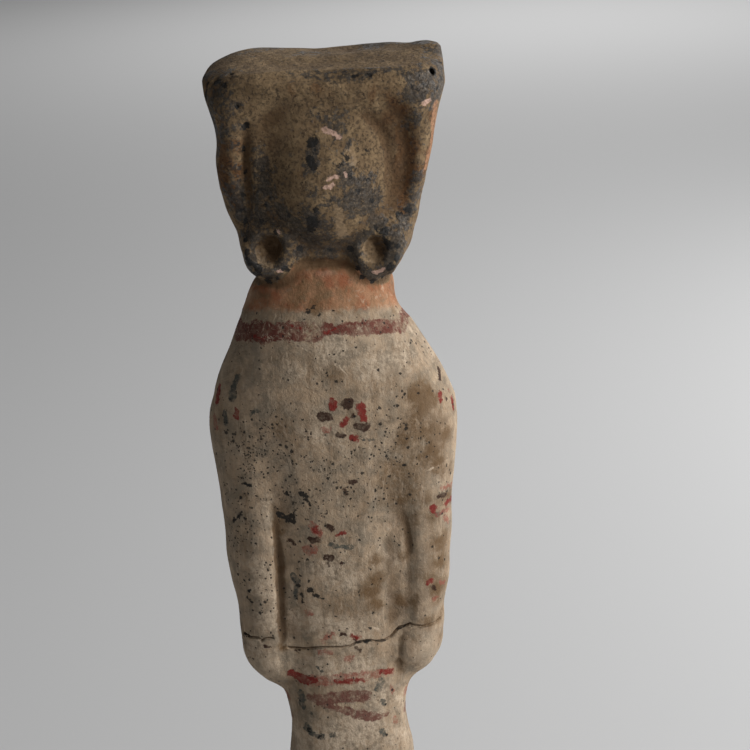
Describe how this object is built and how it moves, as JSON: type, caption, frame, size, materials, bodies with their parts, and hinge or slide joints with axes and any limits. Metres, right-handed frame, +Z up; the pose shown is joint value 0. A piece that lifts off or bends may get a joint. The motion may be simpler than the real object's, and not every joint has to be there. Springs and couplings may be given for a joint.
{
  "type": "court lady figure",
  "caption": "Standing court lady in painted terracotta: flat-topped hair with loops at the jaw, sloping shoulders, joined hands, narrow belted waist, trumpet skirt on a low base.",
  "frame": {"origin": "centre of the underside of the low base", "axes": "+Z up through the crown, the lady faces -Y, her left hand is towards +X"},
  "size_m": [0.092, 0.084, 0.3],
  "materials": {
    "painted_terracotta": "matt low-fired clay under a worn buff slip, with dark hair, orange-pink skin and red painted flowers and belt"
  },
  "bodies": {
    "root": {"court_lady_figure": "painted_terracotta"}
  },
  "joints": []
}
